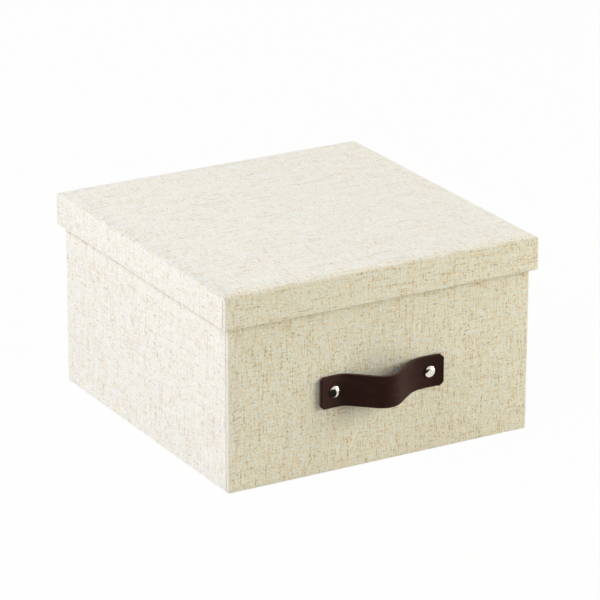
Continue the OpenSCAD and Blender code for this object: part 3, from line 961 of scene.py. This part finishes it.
# Turns a profile of (radius, height) round an axis along -Y at each rivet, closed by a point at both ends.
def turnedPair(name, replaced, profile, y, z):
    a = np.linspace(0, 2 * math.pi, rivets["turns"], endpoint=False)
    r, h = profile[1:-1, :1], profile[1:-1, 1:]
    rows, count = len(r), len(a)
    points, faces = [], []
    for k, x in enumerate((-pull["rivetHalf"], pull["rivetHalf"])):
        ring = np.stack(np.broadcast_arrays(x + r * np.cos(a), y - h, z + r * np.sin(a)), axis=-1)
        tips = [(x, y - profile[0, 1], z), (x, y - profile[-1, 1], z)]
        points += [ring.reshape(-1, 3), np.array(tips)]
        faces += [f + k * (rows * count + 2) for f in cappedQuads(rows, count)]
    addPiece(name, "box", "nickel", np.concatenate(points), faces, replaced)


# A head is a post, a rim rolled as part of a circle, and a dome that is part of a sphere.
def makeRivetHeads(z):
    r = rivets
    low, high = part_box("handle_rivets")
    seat = low.y + r["headHeight"]                # outside of the leather
    dome = r["headHeight"] - r["rim"]
    domeRadius = (r["headRadius"] ** 2 + dome ** 2) / (2 * dome)
    half = math.degrees(math.asin((r["headRadius"] - r["rim"] * r["domeInset"]) / domeRadius))
    profile = np.concatenate([
        [(0, seat - high.y), (r["postRadius"], seat - high.y)],
        [(r["postRadius"], -r["sunk"]), (r["headRadius"] - r["rim"], -r["sunk"])],
        arc((r["headRadius"] - r["rim"], r["rim"] - r["sunk"]), r["rim"], -90, 45, 6),
        arc((0, r["headHeight"] - domeRadius), domeRadius, 90 - half, 90, 16),
        [(0, r["headHeight"])],
    ])
    turnedPair("rivetHeads", ["handle_rivets"], profile, seat, z)


# A back falls by backFall times the fourth power of the radius, with a dimple exp(-(radius / width)^2).
def makeRivetBacks(z):
    r = rivets
    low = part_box("rivet_backs")[0]
    reach = np.linspace(0, 1, 12)
    crown = r["backHeight"] * (1 - r["backFall"] * reach ** 4)
    crown = crown - r["backDimple"] * np.exp(-(reach / r["backDimpleWidth"]) ** 2)
    face = r["backRadius"] - r["backBevel"]
    edgeLow, edgeHigh = r["backEdge"]
    profile = np.concatenate([
        np.stack([reach * face, -crown], axis=-1),
        [(r["backRadius"], -edgeHigh), (r["backRadius"], -edgeLow), (face, 0), (0, 0)],
    ])
    turnedPair("rivetBacks", ["rivet_backs"], profile, low.y, z)


pullLow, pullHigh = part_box("handle_strap")
makeRivetHeads((pullLow.z + pullHigh.z) / 2)
makeRivetBacks((pullLow.z + pullHigh.z) / 2)


# Partition: a board folded to a flange at both ends, glued to the front and the back

partition = {
    "half": 1.0 * mm,            # of its thickness
    "fold": 2.0 * mm,            # radius at the middle of the board
    "edge": 0.35 * mm,           # rounding of its edges
}


# The folded line, seen from above, carries a rounded cross-section as tall as the board.
def makePartition():
    low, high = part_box("partition")
    h, fold, edge = partition["half"], partition["fold"], partition["edge"]
    end, free = high.y - h, high.x
    line = np.concatenate([
        run((free, end), (fold, end), 8),
        arc((fold, end - fold), fold, 90, 180, 8),
        run((0, end - fold), (0, fold - end), 24),
        arc((fold, fold - end), fold, 180, 270, 8),
        run((fold, -end), (free, -end), 8),
        [(free, -end)],
    ])
    normal = leftNormals(line)
    px, py, turn = ringColumns(np.linspace(-1, 1, 4), np.linspace(-1, 1, 9), 5)
    out = px * (h - edge) + edge * np.cos(turn)
    tall = (low.z + high.z) / 2 + py * ((high.z - low.z) / 2 - edge) + edge * np.sin(turn)
    plan = line[:, None, :] + normal[:, None, :] * out[None, :, None]
    points = np.concatenate([plan, np.broadcast_to(tall[None, :, None], plan.shape[:2] + (1,))], axis=-1)
    caps = np.stack([points[0].mean(axis=0), points[-1].mean(axis=0)])
    addPiece("partitionBoard", "box", "partition_board", np.concatenate([points.reshape(-1, 3), caps]),
             cappedQuads(*points.shape[:2]), ["partition"])


makePartition()


# The other boards, the tapes and the papers keep their CAD solids

for row in frame["record"]["subparts"]:
    solid = frame["nodes"][row["node"]]
    solid.data.materials.clear()
    solid.data.materials.append(finishes[row["material_slot"]])
print("CAD nodes finished:", sum(not o.hide_render for o in frame["nodes"].values()))


# White floor and background, a dark card that only mirror rays see, and three soft lamps

studio = {
    "ambient": rgb(0.105, 0.086, 0.055),
    "lamps": {
        "leftLamp": {"place": (-2.25, 0.1, 1.50), "size": 2.4, "power": 77.5,
                     "colour": (0.975, 1.0, 1.13), "shine": False},
        "backLamp": {"place": (0.30, 2.00, 1.90), "size": 1.8, "power": 16,
                     "colour": (1.04, 1.0, 0.86), "shine": False},
        "frontLamp": {"place": (2.36, -1.69, 0.97), "size": 1.8, "power": 79,
                      "colour": (1.03, 1.0, 0.88), "shine": True},
    },
    "aim": (0, 0, 0.1),          # of all lamps
    "floorPale": rgb(0.64, 0.60, 0.52),
    "floorWhite": 0.975,         # share of plain white that the camera sees in it
    "floorHalf": 8.0,
    "floorCells": 8,
    "floorDrop": 0.2 * mm,       # below the box
    "cardNear": (-0.60, -0.030),       # X of its lower corners
    "cardGap": 0.45 * mm,        # from the tray's front to its lower edge
    "cardLift": 1 * mm,          # height of its lower edge
    "cardFar": ((0.28, -1.30), (-1.30, -0.60)),  # X and Y of its upper corners
    "cardRise": 0.60,            # and their height
    "cardColour": rgb(0.02, 0.02, 0.02),
}


# 1 for rays from the camera and for those that shiny or clear pieces send on, and 0 for all others.
def seenRays(tree):
    path = put(tree, "ShaderNodeLightPath").outputs
    seen = calc(tree, "MAXIMUM", path["Is Camera Ray"], path["Is Glossy Ray"])
    return calc(tree, "MAXIMUM", seen, path["Is Transmission Ray"])


def dullMaterial(name, colour):
    material, tree, shader = startMaterial(name)
    feed(tree, shader, {"Base Color": colour, "Roughness": 1.0, "Specular IOR Level": 0.0})
    return material, tree, shader


# A flat grid. Seen rays find it nearly white, and to all other light it is pale.
def makeFloor():
    half, cells = studio["floorHalf"], studio["floorCells"]
    t = np.linspace(-half, half, cells + 1)
    x, y = np.meshgrid(t, t)
    points = np.stack([x, y, np.full_like(x, -studio["floorDrop"])], axis=-1).reshape(-1, 3)
    number = np.arange(x.size).reshape(x.shape)
    corners = [number[:-1, :-1], number[:-1, 1:], number[1:, 1:], number[1:, :-1]]
    mesh = bpy.data.meshes.new("floor")
    mesh.from_pydata(points, [], np.stack(corners, axis=-1).reshape(-1, 4).tolist())
    material, tree, shader = dullMaterial("floor", studio["floorPale"])
    white = put(tree, "ShaderNodeEmission", None, {"Color": rgb(1, 1, 1), "Strength": 1.0})
    share = times(tree, seenRays(tree), studio["floorWhite"])
    mixed = put(tree, "ShaderNodeMixShader", None, {0: share, 1: shader.outputs[0], 2: white.outputs[0]})
    tree.links.new(mixed.outputs[0], tree.nodes["Material Output"].inputs["Surface"])
    mesh.materials.append(material)
    floor = intoScene("floor", mesh)


# Seen rays find plain white, and all others the ambient level.
def makeWorld():
    world = bpy.data.worlds.new("studio")
    bpy.context.scene.world = world
    world.use_nodes = True
    tree = world.node_tree
    light = mixColour(tree, seenRays(tree), studio["ambient"], rgb(1, 1, 1))
    feed(tree, tree.nodes["Background"], {"Color": light})


# A dark card that rises from the floor in front of the box. Only mirror rays see it, so that metal and
# leather get a dark side.
def makeCard():
    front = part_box("body_side_cover")[0].y - studio["cardGap"]
    corners = [(x, front, studio["cardLift"]) for x in studio["cardNear"]]
    corners += [(x, y, studio["cardRise"]) for x, y in studio["cardFar"]]
    mesh = bpy.data.meshes.new("darkCard")
    mesh.from_pydata(corners, [], [(0, 1, 2, 3)])
    mesh.materials.append(dullMaterial("darkCard", studio["cardColour"])[0])
    card = intoScene("darkCard", mesh)
    card.visible_camera = card.visible_diffuse = card.visible_shadow = False


def makeLamp(name, look):
    lamp = bpy.data.lights.new(name, "AREA")
    lamp.shape = "SQUARE"
    lamp.size = look["size"]
    lamp.energy = look["power"]
    lamp.color = look["colour"]
    holder = intoScene(name, lamp)
    holder.visible_glossy = look["shine"]
    turn = (Vector(studio["aim"]) - Vector(look["place"])).to_track_quat("-Z", "Y")
    holder.matrix_world = Matrix.Translation(look["place"]) @ turn.to_matrix().to_4x4()


makeFloor()
makeWorld()
makeCard()
for name, look in studio["lamps"].items():
    makeLamp(name, look)
bpy.context.scene.view_settings.view_transform = "Standard"
print("stage and light made")
